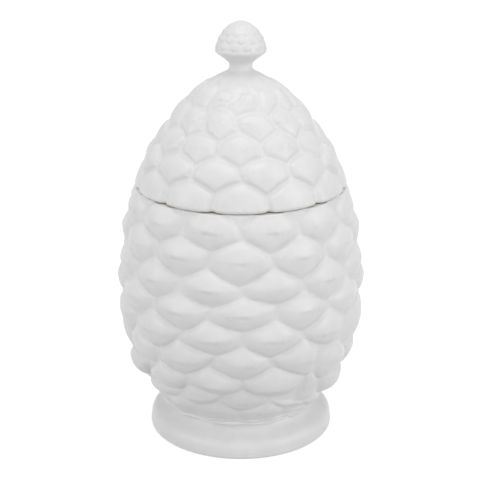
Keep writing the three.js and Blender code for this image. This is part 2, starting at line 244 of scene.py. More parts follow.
# How far a sloping groove bows up between its corners: on the upper rows, on the lower rows, and
# on the flanks low down, where the scales hang full and round
CONE_BOWS = (1.0, -0.5, -2.5)
LID_BOWS = (1.0, 1.0, 1.0)
KNOB_BOWS = (0.2, 0.2, 0.2)
UPPER_ROWS, LOWER_ROWS = 155, 125       # levels above and below which the first two hold
FLANK_START, FLANK_FULL = 30, 50        # angles from the front
FLANK_TOP, FLANK_LOW = 96, 80           # and levels between which the flanks begin
HEM_GROOVES = (24, 34)                  # near the hem, between these levels, the grooves straighten

SMOOTH_SCALES = {(3, 0), (6, 0), (1, 1)}        # rows and columns of scales with hardly a navel
FLAT_SCALES = {(7, 1): 0.6, (8, 2): 0.8}        # and of flatter ones, with how high they still are

# Corners that the modeller set well off the even rows, as degrees round and millimetres up.
# They are named by the scale that has them as its lower (tip) or upper (peak) corner.
CONE_STRAYS = {
    ("tip", 2, 0): (0, -1), ("tip", 3, 0): (3, 4), ("tip", 3, 11): (1, 1), ("tip", 4, 0): (2, 3.5),
    ("tip", 4, 11): (2, -1), ("tip", 5, 10): (0, -2), ("tip", 5, 11): (3, 1), ("tip", 5, 1): (-0.5, 1.5),
    ("peak", 6, 2): (-4, -12), ("tip", 5, 2): (-4, -11), ("tip", 6, 10): (7, 1), ("tip", 6, 0): (2, 1),
    ("tip", 6, 1): (7, -2), ("tip", 6, 2): (-8, -11), ("peak", 7, 10): (0, -4),
    ("peak", 7, 1): (-7, -11), ("peak", 7, 2): (-5, -16),
    ("peak", 8, 10): (-3, -5), ("peak", 8, 11): (2, -1), ("peak", 8, 1): (0, -15), ("peak", 8, 2): (-6, -19),
    ("tip", 7, 10): (7, -1), ("tip", 7, 11): (4, 1), ("tip", 7, 0): (2, 0.5), ("tip", 7, 1): (0, -12),
    ("tip", 7, 2): (-4, -13.5), ("peak", 9, 10): (7, -1), ("peak", 9, 11): (3, 1), ("peak", 9, 0): (2, 0),
    ("peak", 9, 1): (0, -11.5), ("peak", 9, 2): (-4, -13), ("tip", 8, 1): (0, -2), ("tip", 8, 2): (0, -10),
    ("tip", 5, 9): (4, -4), ("tip", 6, 9): (5, -4), ("tip", 7, 9): (4, -4), ("peak", 7, 9): (4, -4),
    ("peak", 8, 9): (5, -4), ("peak", 9, 9): (4, -4), ("tip", 6, 8): (5, -2), ("tip", 7, 8): (5, -2),
    ("peak", 7, 8): (5, -2), ("peak", 8, 8): (5, -2),
}

# From the right flank round to the back the lower rows sag together. Each corner has its own
# turn and drop, and each column its share of them.
CONE_SAG = {
    ("peak", 6): (-6, -17), ("tip", 5): (-9, -13), ("peak", 7): (-8, -17), ("tip", 6): (-10, -17),
    ("peak", 8): (-8, -20), ("tip", 7): (-6, -15), ("peak", 9): (-4, -14), ("tip", 8): (-2, -11),
}
SAG_SHARES = {3: 1.0, 4: 0.85, 5: 0.6, 6: 0.35, 7: 0.15}
for (sag_end, sag_row), (sag_turn, sag_rise) in CONE_SAG.items():
    for sag_column, sag_share in SAG_SHARES.items():
        CONE_STRAYS[sag_end, sag_row, sag_column] = (sag_turn * sag_share, sag_rise * sag_share)

LID_STRAYS = {
    ("tip", 0, 10): (8, 0), ("tip", 0, 11): (10, -2.5), ("peak", 1, 0): (10, -2), ("tip", 0, 0): (7, -1),
    ("tip", 0, 1): (7, -3), ("tip", 1, 11): (-6, -1), ("tip", 1, 0): (-5, 0), ("tip", 1, 1): (-3, -1),
    ("tip", 1, 2): (-4, 0), ("peak", 2, 10): (5, -1), ("peak", 2, 11): (-1, 1), ("peak", 2, 0): (2, -2),
    ("peak", 2, 2): (-6, -5), ("peak", 3, 11): (1, 0), ("peak", 3, 0): (-2, 1), ("peak", 3, 1): (2, 0.5),
    ("peak", 3, 2): (-2, -2), ("tip", 2, 11): (-2, 0), ("tip", 3, 0): (0, 2), ("tip", 3, 1): (0, 2.5),
    ("tip", 2, 0): (0, 1),
}

LEVEL_BASE_DROP = 1.25  # the last row stands on a level line, so its ridges follow the sag more


class Cover:
    """Rows of scales laid over an outline. Each row is turned half a scale from the one above."""

    def __init__(self, outline, rows, seat, height, top, base, first_turned, bows, ridge_lift, strays):
        self.outline = outline
        self.rows = [(seat + height * level, relief, edge) for level, relief, edge in rows]
        self.top, self.base, self.first_turned = top, base, first_turned
        self.bows, self.ridge_lift, self.strays = bows, ridge_lift, strays

    def turn_of(self, row):
        return (row + self.first_turned + 2) % 2

    def uneven(self, row, column, salt):
        """What hand modelling leaves each scale off, from -1 to 1, with another salt for each use"""
        return math.sin(12.7 * (row + 2) + 31.1 * (column % SCALES_ROUND) + 7.4 * salt)

    def named(self, end, row, column):
        return self.strays.get((end, row, column % SCALES_ROUND), (0, 0))

    def stray(self, end, row, column, salt, height):
        """A corner's angle and height, off the even rows by a little, or by more if it is named"""
        turn, rise = self.named(end, row, column)
        angle = PITCH * (column + self.turn_of(row) / 2) + turn
        return angle + DRIFT * self.uneven(row, column, salt), height + rise

    def peak(self, row, column):
        """A scale's upper corner, the foot of an upright groove in the row above"""
        if row == 0:
            return self.stray("peak", row, column, 1, self.top)
        if row == len(self.rows):
            return self.stray("peak", row, column, 1, self.base)
        height, _, edge = self.rows[row - 1]
        return self.stray("peak", row, column, 1, height - edge / 2 + SHIFT * self.uneven(row, column, 2))

    def tip(self, row, column):
        """A scale's lower corner, the head of an upright groove in the row below"""
        if row == -1:
            return self.stray("tip", row, column, 3, self.top)
        if row == len(self.rows) - 1:
            return self.stray("tip", row, column, 3, self.base)
        height, _, edge = self.rows[row + 1]
        return self.stray("tip", row, column, 3, height + edge / 2 + SHIFT * self.uneven(row, column, 4))

    def bow_at(self, angle, height):
        """How far a sloping groove bows up"""
        upper, lower, flank = self.bows
        front = lerp(upper, lower, ramp(height, UPPER_ROWS, LOWER_ROWS))
        return lerp(front, flank, self.flank(angle, height)) * ramp(height, *HEM_GROOVES)

    def flank(self, angle, height):
        """1 on both flanks low down, 0 elsewhere"""
        aside = abs((angle + 180) % 360 - 180)
        return ramp(aside, FLANK_START, FLANK_FULL) * ramp(height, FLANK_TOP, FLANK_LOW)

    def corners(self, row, column):
        """A scale's upper and lower corner, the pairs of corners at its sides, the middle of its
        ridge, and its width"""
        left = column - 1 + self.turn_of(row)
        right = left + 1
        upper, lower = self.peak(row, column), self.tip(row, column)
        sides = {
            -1: (self.tip(row - 1, left), self.peak(row + 1, left)),
            1: (self.tip(row - 1, right), self.peak(row + 1, right)),
        }
        around = [("peak", row, column), ("tip", row, column)]
        around += [(end, row + step, c) for end, step in (("tip", -1), ("peak", 1)) for c in (left, right)]
        rise = sum(self.named(*corner)[1] for corner in around) / len(around)
        if row == len(self.rows) - 1:
            rise *= LEVEL_BASE_DROP
        middle = ((upper[0] + lower[0]) / 2, self.rows[row][0] + rise)
        span = sides[1][0][0] - sides[-1][0][0]
        return upper, lower, sides, middle, math.radians(span) * self.outline(middle[1])


# Where a place on a scale lies, and how far it stands out

FLANK_LIFT = 0.3        # how high up a scale's side its ridge ends on the flanks, as a share
LEAST_UPRIGHT = 0.3     # ground that lies flatter than this isn't stretched any further

Spot = namedtuple("Spot", "across angle height x y to_slope to_side rise drop width")


def between(a, b, t):
    return lerp(a[0], b[0], t), lerp(a[1], b[1], t)


def spot_on(cover, row, corners, across, up):
    """Where a place on a scale lies, how far it is from the middle of the ridge, and how far from
    the sloping and the upright grooves"""
    upper, lower, sides, middle, width = corners
    upper_side, lower_side = sides[-1 if across < 0 else 1]
    corner, side = (upper, upper_side) if up > 0 else (lower, lower_side)
    share = abs(across)
    lift = lerp(cover.ridge_lift, FLANK_LIFT, cover.flank(upper_side[0], middle[1]))
    end = between(lower_side, upper_side, lift)
    ridge = lerp(middle[0], end[0], share), lerp(middle[1], end[1], share * share)
    edge = between(corner, side, share)
    on_end_row = up > 0 and row == 0 or up < 0 and row == len(cover.rows) - 1
    if not on_end_row:
        place = between(corner, side, 0.5)
        bow = cover.bow_at(place[0], (corner[1] + side[1]) / 2)
        edge = (edge[0], edge[1] + bow * 4 * share * (1 - share))
    angle, height = between(ridge, edge, abs(up))
    per_degree = math.radians(1) * cover.outline(height)
    upright = max(outward_at(cover.outline, height)[0], LEAST_UPRIGHT)
    half_width = abs(side[0] - middle[0]) * per_degree
    fall = math.atan2(abs(corner[1] - side[1]) / upright, half_width)
    return Spot(
        across, angle, height,
        x=(angle - middle[0]) * per_degree,
        y=(height - ridge[1]) / upright,
        to_slope=(1 - abs(up)) * abs(edge[1] - ridge[1]) / upright * math.cos(fall),
        to_side=(1 - share) * half_width,
        rise=(upper[1] - middle[1]) / upright,
        drop=(middle[1] - lower[1]) / upright,
        width=width,
    )


def bump(distance, size):
    """A soft round bump, 1 in the middle"""
    return math.exp(-(distance / size) ** 2)


def shoulder(distance, width, fullness):
    """How far a pad has risen at a distance from its edge"""
    t = min(max(distance / width, 0), 1)
    return 1 - (1 - t) ** fullness


def soft_least(a, b, softness):
    """The lesser of two distances, with the crease between them rounded"""
    return -softness * math.log(math.exp(-a / softness) + math.exp(-b / softness))


# How a scale falls away from the middle of its ridge. The greater a power, the longer that face
# stays near the top before it falls.
UPPER_FACE = 1.9
LOWER_FACE, FULL_LOWER_FACE = 1.3, 2.2          # below the ridge, on a crisp and on a full scale
SIDE_FACE = 2.2
SIDE_FALL, END_RELIEF = 0.95, 0.35              # the fall at the sides, and how little is left there
LOWER_REACH = 1.06                              # the lower face ends this much past its groove
RIDGE_ROUNDING, END_ROUNDING = 1.4, 4.0         # in millimetres, mid-ridge and at its ends
FULL_ROUNDING = 1.5                             # and more on a full scale
FOOT_SOFTNESS = 0.05                            # how softly a scale runs out at its foot
ROUNDING_STEPS = [(-1.0, 1 / 9), (-0.5, 2 / 9), (0.0, 3 / 9), (0.5, 2 / 9), (1.0, 1 / 9)]


def bun(across, y, rise, drop, fullness, reach):
    """A bun with a ridge across it, from 1 on top to 0 at its foot, of the given rise above the
    ridge, drop below it and reach to the sides. The ridge rounds over more towards its ends."""
    rounding = lerp(RIDGE_ROUNDING, END_ROUNDING, across * across) + FULL_ROUNDING * fullness
    fall = 0
    for step, weight in ROUNDING_STEPS:
        level = y + step * rounding
        if level > 0:
            fall += weight * (level / rise) ** UPPER_FACE
        else:
            fall += weight * (-level / (LOWER_REACH * drop)) ** lerp(LOWER_FACE, FULL_LOWER_FACE, fullness)
    sideways = SIDE_FALL * abs(across / reach) ** SIDE_FACE
    left = 1 - sideways - fall * (1 - END_RELIEF * across * across)
    return FOOT_SOFTNESS * math.log(1 + math.exp(left / FOOT_SOFTNESS))


FULL_WIDTH, FULL_HEIGHT = 32, 18        # a scale of the cone that is smaller stands out less
FULL_RELIEF = 5.0                       # one that stands out so far has a full navel
WIDE_ROWS = 3                           # the first rows of the cone have ridges as wide as the scales
HANGING_ROWS = 7                        # from this row down the flanks' scales stand out more
HANGING_GAIN = 0.5                      # by up to this share
RELIEF_DRIFT = 0.06                     # unevenness of how far a scale stands out, as a share
FULLNESS = 0.15                         # how full a scale in front is, give or take as much again
CHANNEL = 1.0                           # half the width of the flat channel along an upright groove
EDGE_WIDTH = 3.2                        # a scale rises from its edge over this distance
WIDE_REACH, REACH = 1.1, 0.98           # how far its ridge runs, as shares of half its width
BROW_HEIGHT, NAVEL_DEPTH = 0.4, 1.04    # over and in the dimple in the middle of a ridge
BROW_LEVEL, NAVEL_LEVEL = 0.4, -1.8     # and where they lie, from the ridge up
BROW_SIZE, NAVEL_SIZE = (5.5, 1.4), (3.2, 0.9)          # half their widths and heights


def cone_relief(cover, row, column, spot):
    """A full scale with a small navel in the middle of its ridge, and an edge of its own"""
    flank = cover.flank(spot.angle, spot.height)
    height = cover.peak(row, column)[1] - cover.tip(row, column)[1]
    tall = cover.rows[row][1] * (1 + RELIEF_DRIFT * cover.uneven(row, column, 5))
    tall *= min(1, spot.width / FULL_WIDTH) * min(1, height / FULL_HEIGHT)
    tall *= FLAT_SCALES.get((row, column), 1)
    if row >= HANGING_ROWS:
        tall *= 1 + HANGING_GAIN * flank
    fullness = max(FULLNESS + FULLNESS * cover.uneven(row, column, 6), flank)
    reach = WIDE_REACH if row < WIDE_ROWS else REACH
    distance = soft_least(spot.to_slope, spot.to_side - CHANNEL, 0.6)
    relief = tall * shoulder(distance, EDGE_WIDTH, 2.0) * bun(
        spot.across, spot.y, spot.rise, spot.drop, fullness, reach,
    )
    crispness = 0.1 if (row, column) in SMOOTH_SCALES else 1 - fullness
    crispness *= tall / FULL_RELIEF
    brow = bump(spot.x, BROW_SIZE[0]) * bump(spot.y - BROW_LEVEL, BROW_SIZE[1])
    navel = bump(spot.x, NAVEL_SIZE[0]) * bump(spot.y - NAVEL_LEVEL, NAVEL_SIZE[1])
    return relief + crispness * (BROW_HEIGHT * brow - NAVEL_DEPTH * navel)


LID_RIDGES = {3: 0.5, 4: 0.9, 5: 0.6}   # rows of the lid whose pads have a ridge, and how marked it is
LID_DRIFT = 0.08                        # unevenness of how far a pad stands out, as a share
LID_LIP = 2.2                           # a pad steps up by half its height, or by half of this
LID_CHANNELS = (1.0, 1.2)               # half the width of the sloping and of the upright channels
LID_SWELL, LID_EDGE, LID_STEP = 8.0, 2.5, 2.0           # widths of a pad's dome, edge and step
RIDGE_SHARE, LID_REACH = 0.8, 1.15      # how much of a ridge shows, and how far it runs


def lid_relief(cover, row, column, spot):
    """A low pad, stepped below and soft above, between narrow flat channels"""
    tall = cover.rows[row][1] * (1 + LID_DRIFT * cover.uneven(row, column, 5))
    ridged = LID_RIDGES.get(row, 0)
    lip = 0.5 * min(tall, LID_LIP)
    distance = soft_least(spot.to_slope - LID_CHANNELS[0], spot.to_side - LID_CHANNELS[1], 0.5)
    swell = shoulder(distance, LID_SWELL, 2.0)
    if ridged:
        pad = bun(spot.across, spot.y, spot.rise, spot.drop, 1 - ridged, LID_REACH)
        swell = lerp(swell, pad, RIDGE_SHARE) * shoulder(distance, LID_EDGE, 2.0)
    return lip * shoulder(distance, LID_STEP, 2.0) + (tall - lip) * swell


BEAD_DRIFT = 0.15       # unevenness of the size of the knob's beads, as a share
BEAD_EDGE, BEAD_TOP = 2.6, 1.0          # a bead rises between these distances from its middle
BEAD_HEIGHT, BEAD_LIFT = 0.25, 0.4      # and its middle lies this much over its scale's
RING_RADIUS, RING_WIDTH, RING_DEPTH = 2.2, 0.8, 0.6     # of the ring pressed in round it
RING_END = 1.2          # which dies away between this far above and this far below the middle
BORDER = 0.8            # and at the border of a scale all runs out over this distance


def knob_relief(cover, row, column, spot):
    """A small round bead in a crescent that is pressed in below it"""
    size = 1 + BEAD_DRIFT * cover.uneven(row, column, 5)
    away = math.hypot(spot.x, spot.y - BEAD_LIFT) / size
    bead = BEAD_HEIGHT * ramp(away, BEAD_EDGE, BEAD_TOP)
    crescent = RING_DEPTH * bump(away - RING_RADIUS, RING_WIDTH) * ramp(spot.y, RING_END, -RING_END)
    inside = ramp(soft_least(spot.to_slope, spot.to_side, 0.2), 0, BORDER)
    return cover.rows[row][1] * (bead - crescent) * inside


# Patches, edges and walls

CROWDING = 0.35         # how much closer a patch's points stand at its edges
LUMPS, LUMP_SIZE = 0.16, 6.0            # what the modeller's fingers leave, and how far apart
WORN_HEIGHT, WORN_BELOW = 2.4, 0.6      # the band that wears along a ridge, and how far below it lies
WORN_ENDS = (0.9, 0.5)                  # where it fades towards the sides, as shares of half a scale


def spaced(t):
    """Stations along a side from 0 to 1, closer at both ends and alike from either end"""
    return t - CROWDING * math.sin(2 * math.pi * t) / (2 * math.pi)


def cover_with_scales(mesh, cover, relief_of, steps):
    """One patch for each scale. Neighbours meet point to point along their grooves."""
    worn = mesh.verts.layers.float.new("worn_ridge")
    for row in range(len(cover.rows)):
        for column in range(SCALES_ROUND):
            corners = cover.corners(row, column)
            patch = bmesh.ops.create_grid(mesh, x_segments=steps, y_segments=steps, size=1.0)
            for vert in patch["verts"]:
                across = math.copysign(spaced(abs(vert.co.x)), vert.co.x)
                up = math.copysign(spaced(abs(vert.co.y)), vert.co.y)
                spot = spot_on(cover, row, corners, across, up)
                ground = place_at(cover.outline, spot.angle, spot.height, 0)
                lump = LUMPS * noise.noise(ground / (LUMP_SIZE * MM))
                relief = relief_of(cover, row, column, spot) + lump
                vert.co = place_at(cover.outline, spot.angle, spot.height, relief)
                vert[worn] = bump(spot.y + WORN_BELOW, WORN_HEIGHT) * ramp(abs(spot.across), *WORN_ENDS)
    bmesh.ops.remove_doubles(mesh, verts=mesh.verts, dist=0.002 * MM)


def soften(mesh, times):
    """Glaze rounds every crease a little"""
    inner = [vert for vert in mesh.verts if not vert.is_boundary]
    for _ in range(times):
        bmesh.ops.smooth_vert(
            mesh, verts=inner, factor=0.5, use_axis_x=True, use_axis_y=True, use_axis_z=True,
        )


def cut_level(mesh, height, side):
    """Cuts off what lies above (1) or below (-1) a level"""
    everything = mesh.verts[:] + mesh.edges[:] + mesh.faces[:]
    bmesh.ops.bisect_plane(
        mesh, geom=everything, dist=0.01 * MM, plane_co=metres(0, 0, height), plane_no=(0, 0, side),
        clear_outer=True,
    )


def open_edge(mesh, height):
    """The open edge that lies near a level"""
    return [
        edge for edge in mesh.edges
        if edge.is_boundary and all(abs(vert.co.z / MM - height) < 0.5 for vert in edge.verts)
    ]


GLAZED, BARE = 0, 1     # places of a piece's two materials


def draw_on(mesh, edges, stations, finish=GLAZED):
    """Draws an open edge on through (radius, height) stations. A radius of None keeps each point's
    own, and a station of three values takes the last off it."""
    for station in stations:
        made = bmesh.ops.extrude_edge_only(mesh, edges=edges)["geom"]
        edges = [g for g in made if isinstance(g, bmesh.types.BMEdge) and g.is_boundary]
        for face in (g for g in made if isinstance(g, bmesh.types.BMFace)):
            face.material_index = finish
        radius, height, *inset = station
        for vert in {vert for edge in edges for vert in edge.verts}:
            own = math.hypot(vert.co.x, vert.co.y)
            wanted = own - inset[0] * MM if inset else radius * MM
            vert.co.x *= wanted / own
            vert.co.y *= wanted / own
            vert.co.z = height * MM
    return edges


def close_middle(mesh, edges):
    """Closes a level round opening with a fan"""
    height = edges[0].verts[0].co.z
    made = bmesh.ops.extrude_edge_only(mesh, edges=edges)["geom"]
    inner = [g for g in made if isinstance(g, bmesh.types.BMVert)]
    bmesh.ops.pointmerge(mesh, verts=inner, merge_co=(0, 0, height))


def ease(level, radius, rise, steps=5):
    """Stations that round an edge over inwards by a quarter turn, to end at a level, from below (1)
    or from above (-1)"""
    turns = [math.pi / 2 * k / steps for k in range(steps + 1)]
    return [
        (None, level - rise * radius * (1 - math.sin(b)), radius * (math.cos(a) - math.cos(b)))
        for a, b in zip(turns, turns[1:])
    ]


def inside_of(outline, wall, start, end, steps):
    """Stations a wall's thickness inside an outline, from one height to another"""
    found = []
    for k in range(steps + 1):
        height = lerp(start, end, k / steps)
        radial, upright = outward_at(outline, height)
        found.append((outline(height) - wall * radial, height - wall * upright))
    return found


SHARP = math.radians(60)        # an edge that turns by more than this isn't shaded as round


def finish_piece(name, mesh, materials, body, slot, *nodes):
    """Closes a piece's seams, turns its faces outwards, and says what it stands for"""
    bmesh.ops.remove_doubles(mesh, verts=mesh.verts, dist=0.001 * MM)
    bmesh.ops.recalc_face_normals(mesh, faces=mesh.faces)
    for face in mesh.faces:
        face.smooth = True
    for edge in mesh.edges:
        edge.smooth = edge.calc_face_angle(0) < SHARP
    data = bpy.data.meshes.new(name)
    mesh.to_mesh(data)
    mesh.free()
    for material in materials:
        data.materials.append(material)
    piece = bpy.data.objects.new(name, data)
    bpy.context.scene.collection.objects.link(piece)
    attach(piece, body)
    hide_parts(*nodes)
    return piece


# Materials

GLAZE_CLOUDED, GLAZE_CLEAR, GLAZE_WORN, PINHOLE = "#e6e6e6", "#ebebeb", "#d9d8d6", "#b4aea5"
CLAY_DARK, CLAY_LIGHT = "#d9d3cb", "#e6e1da"
PAPER, WHITE = "#b8b8b8", "#ffffff"
FIRST, LAST, MIXED = 6, 7, 2            # a Mix node's sockets for colours


def linear(hex_colour):
    """A colour written as it shows on a screen, as the light that it stands for"""
    parts = [int(hex_colour[k:k + 2], 16) / 255 for k in (1, 3, 5)]
    return *(c / 12.92 if c <= 0.04045 else ((c + 0.055) / 1.055) ** 2.4 for c in parts), 1.0


def add(tree, kind, inputs=(), **settings):
    """Adds a node with its settings, and gives each input a value or the output it comes from"""
    made = tree.nodes.new(kind)
    for name, value in settings.items():
        setattr(made, name, value)
    for socket, value in dict(inputs).items():
        if isinstance(value, bpy.types.NodeSocket):
            tree.links.new(value, made.inputs[socket])
        else:
            made.inputs[socket].default_value = value
    return made.outputs


def blend(tree, share, first, last):
    """A mix of two colours, with the share of the last"""
    inputs = {"Factor": share, FIRST: first, LAST: last}
    return add(tree, "ShaderNodeMix", inputs, data_type="RGBA")[MIXED]


def new_material(name):
    material = bpy.data.materials.new(name)
    material.use_nodes = True
    material.node_tree.nodes.clear()
    return material, material.node_tree


def satin_glaze():
    """White zircon glaze on slip-cast earthenware, fired to a satin: an even milky white with a
    broad soft shine, faintly clouded where it lies thicker, a little greyer in blotches where it
    ran thin over the ridges, with a pinhole here and there."""
    material, tree = new_material("white_satin_glaze")
    place = add(tree, "ShaderNodeTexCoord")["Object"]
    clouds = add(tree, "ShaderNodeTexNoise", {"Vector": place, "Scale": 1 / (9 * MM), "Detail": 4.0})
    cloud = add(tree, "ShaderNodeMapRange", {"Value": clouds["Fac"], "From Min": 0.3, "From Max": 0.7})
    tint = blend(tree, cloud["Result"], linear(GLAZE_CLOUDED), linear(GLAZE_CLEAR))
    blotches = add(tree, "ShaderNodeTexNoise", {"Vector": place, "Scale": 1 / (3.2 * MM), "Detail": 3.0})
    blotch = add(tree, "ShaderNodeMapRange", {"Value": blotches["Fac"], "From Min": 0.4, "From Max": 0.85})
    areas = add(tree, "ShaderNodeTexNoise", {"Vector": place, "Scale": 1 / (25 * MM), "Detail": 1.0})
    area = add(tree, "ShaderNodeMapRange", {"Value": areas["Fac"], "From Min": 0.42, "From Max": 0.62})
    ridge = add(tree, "ShaderNodeAttribute", attribute_name="worn_ridge")
    worn = add(tree, "ShaderNodeMath", {0: blotch["Result"], 1: ridge["Fac"]}, operation="MULTIPLY")[0]
    worn = add(tree, "ShaderNodeMath", {0: worn, 1: area["Result"]}, operation="MULTIPLY")[0]
    tint = blend(tree, worn, tint, linear(GLAZE_WORN))
    pits = add(tree, "ShaderNodeTexVoronoi", {"Vector": place, "Scale": 1 / (8 * MM)})
    pit = add(tree, "ShaderNodeMapRange", {
        "Value": pits["Distance"], "From Min": 0.02, "From Max": 0.05, "To Min": 0.7, "To Max": 0.0,
    })
    few = add(tree, "ShaderNodeMath", {0: pits["Color"], 1: 0.6}, operation="GREATER_THAN")[0]
    pinholes = add(tree, "ShaderNodeMath", {0: pit["Result"], 1: few}, operation="MULTIPLY")[0]
    tint = blend(tree, pinholes, tint, linear(PINHOLE))
    peel = add(tree, "ShaderNodeTexNoise", {"Vector": place, "Scale": 1 / (2.2 * MM), "Detail": 2.0})
    bumps = add(tree, "ShaderNodeBump", {"Height": peel["Fac"], "Strength": 0.15, "Distance": 0.3 * MM})
    shader = add(tree, "ShaderNodeBsdfPrincipled", {
        "Base Color": tint, "Roughness": 0.35, "IOR": 1.52, "Normal": bumps["Normal"],
    })
    add(tree, "ShaderNodeOutputMaterial", {"Surface": shader["BSDF"]})
    return material


def bare_clay():
    """Fired white earthenware, wiped clean of glaze: matt, a little warmer, with a fine grain."""
    material, tree = new_material("bare_earthenware")
    place = add(tree, "ShaderNodeTexCoord")["Object"]
    grain = add(tree, "ShaderNodeTexNoise", {"Vector": place, "Scale": 1 / (0.8 * MM), "Detail": 3.0})
    tint = blend(tree, grain["Fac"], linear(CLAY_DARK), linear(CLAY_LIGHT))
    bumps = add(tree, "ShaderNodeBump", {"Height": grain["Fac"], "Strength": 0.2, "Distance": 0.1 * MM})
    shader = add(tree, "ShaderNodeBsdfPrincipled", {
        "Base Color": tint, "Roughness": 0.85, "IOR": 1.5, "Normal": bumps["Normal"],
    })
    add(tree, "ShaderNodeOutputMaterial", {"Surface": shader["BSDF"]})
    return material


def studio_white():
    """Matt white paper that glows just enough to be seen as white, and keeps a soft shadow"""
    material, tree = new_material("white_paper")
    seen = add(tree, "ShaderNodeLightPath")
    direct = add(tree, "ShaderNodeMath", {
        0: seen["Is Camera Ray"], 1: seen["Is Glossy Ray"],
    }, operation="MAXIMUM")[0]
    through = add(tree, "ShaderNodeMath", {
        0: direct, 1: seen["Is Transmission Ray"],
    }, operation="MAXIMUM")[0]
    glow_strength = add(tree, "ShaderNodeMath", {0: through, 1: 0.72}, operation="MULTIPLY")[0]
    paper = add(tree, "ShaderNodeBsdfDiffuse", {"Color": linear(PAPER)})
    glow = add(tree, "ShaderNodeEmission", {"Strength": glow_strength})
    both = add(tree, "ShaderNodeAddShader", {0: paper["BSDF"], 1: glow["Emission"]})
    add(tree, "ShaderNodeOutputMaterial", {"Surface": both["Shader"]})
    return material


GLAZE, CLAY = satin_glaze(), bare_clay()


# The cone

LUTE_HEIGHT = 6.0       # the slip reaches this far up from the hem
SLIP_LEVEL, SLIP, SLIP_WIDTH = 1.8, 1.7, 1.4            # how high its bead lies, its relief and size
SLIP_WANDER, SLIP_WAVES, SLIP_DRIFT = 1.6, 1.0, 1.0     # unevenness of the level, and of the relief
SECOND_LEVEL, SECOND, SECOND_WIDTH = 2.8, 0.5, 0.9      # the same for the bead above the first
SECOND_DRIFT = 1.2
SMEARS = 0.5


def lute(mesh):
    """The slip that was pressed in where the cone meets the foot: an uneven bead over some smears,
    with stretches of a second one above it"""
    top = HEM + LUTE_HEIGHT
    for vert in mesh.verts:
        height = vert.co.z / MM
        if height > top or height < HEM + 0.01:
            continue
        around = Vector((vert.co.x, vert.co.y, 0)).normalized()
        level = HEM + SLIP_LEVEL
        level += SLIP_WANDER * noise.noise(3 * around) + SLIP_WAVES * noise.noise(8 * around)
        bead = SLIP + SLIP_DRIFT * noise.noise(5 * around + Vector((7, 0, 0)))
        second = max(SECOND + SECOND_DRIFT * noise.noise(4 * around + Vector((0, 9, 0))), 0)
        smears = SMEARS * noise.noise(7 * around + Vector((0, 0, 0.5 * height))) * ramp(height, top, top - 3)
        swell = bead * bump(height - level, SLIP_WIDTH) + smears
        swell += second * bump(height - level - SECOND_LEVEL, SECOND_WIDTH)
        vert.co += around * swell * ramp(height, HEM, HEM + 0.8) * MM


CONE_STEPS, LID_STEPS, KNOB_STEPS = 24, 28, 20          # steps along a side of each one's patches
CONE_RIDGE, LID_RIDGE = 0.7, 0.5        # how high up a scale's side its ridge ends, as a share
CONE_OVERRUN = 15       # the cone's scales run past its rim by this much, and are cut off there
FILLET = 3.0            # the size of the rounding between the wall and the floor


def make_cone():
    """The scaled cone: a floor, a flat wiped rim and a straight mouth"""
    mesh = bmesh.new()
    cover = Cover(
        cone_outline, CONE_ROWS, HEM, CONE_HEIGHT, RIM + CONE_OVERRUN, HEM, 0, CONE_BOWS, CONE_RIDGE,
        CONE_STRAYS,
    )
    cover_with_scales(mesh, cover, cone_relief, CONE_STEPS)
    soften(mesh, 2)
    cut_level(mesh, RIM - RIM_EASE, 1)
    mouth = draw_on(mesh, open_edge(mesh, RIM - RIM_EASE), ease(RIM, RIM_EASE, 1))
    mouth = draw_on(mesh, mouth, [(MOUTH_RADIUS + EDGE_EASE, RIM)], BARE)
    mouth = draw_on(mesh, mouth, [(MOUTH_RADIUS, RIM - EDGE_EASE), (MOUTH_RADIUS, RIM - MOUTH_DEPTH)])
    floor = HEM + CONE_FLOOR
    wall = inside_of(cone_outline, CONE_WALL, RIM - 2 * MOUTH_DEPTH, HEM, 24)
    wall = [(radius, height) for radius, height in wall if height > floor + FILLET]
    corner = wall[-1][0] - FILLET
    wall += [(corner, floor + 0.8), (corner - 4, floor), (corner / 2, floor), (corner / 6, floor)]
    close_middle(mesh, draw_on(mesh, mouth, wall))
    cut_level(mesh, HEM + LUTE_HEIGHT, -1)
    levels = [lerp(HEM + LUTE_HEIGHT, HEM, k / 18) for k in range(19)]
    hem = [(None, low, cone_outline(high) - cone_outline(low)) for high, low in zip(levels, levels[1:])]
    hem = draw_on(mesh, open_edge(mesh, HEM + LUTE_HEIGHT), hem)
    lute(mesh)
    underside = [(HEM_RADIUS - 4, HEM), (HEM_RADIUS / 2, HEM), (HEM_RADIUS / 6, HEM)]
    close_middle(mesh, draw_on(mesh, hem, underside))
    return finish_piece("scaled_jar", mesh, [GLAZE, CLAY], "jar", "jar_glaze", "jar_body")


# The lid and its knob

LID_OVERRUN = 45        # the lid's lowest scales run on below its seat, and are cut off there
WARP_START, WARP_FULL = 0.78, 0.95      # shares of the radius between which the warp comes in
WARP_HEIGHT = 9.0       # it dies away this far up
SEAT_WIDTH = 2.0        # the ring of the seat, outside the collar, that lies on the level of the rim
FRONT_DROP, SIDE_DROP = 0.4, 0.9        # shares of the gap that it takes in front and at the sides


def settle(mesh):
    """The lid warped a little in the kiln, and so it sits closer to the rim, most at both sides"""
    top = RIM + WARP_HEIGHT
    for vert in mesh.verts:
        height, radius = vert.co.z / MM, math.hypot(vert.co.x, vert.co.y) / MM
        if radius > COLLAR_RADIUS + SEAT_WIDTH + 0.5 and RIM + 0.01 < height < top:
            aside = ramp(abs(vert.co.x) / MM / radius, WARP_START, WARP_FULL)
            vert.co.z -= SEAT_RELIEF * lerp(FRONT_DROP, SIDE_DROP, aside) * ramp(height, top, RIM + 1) * MM


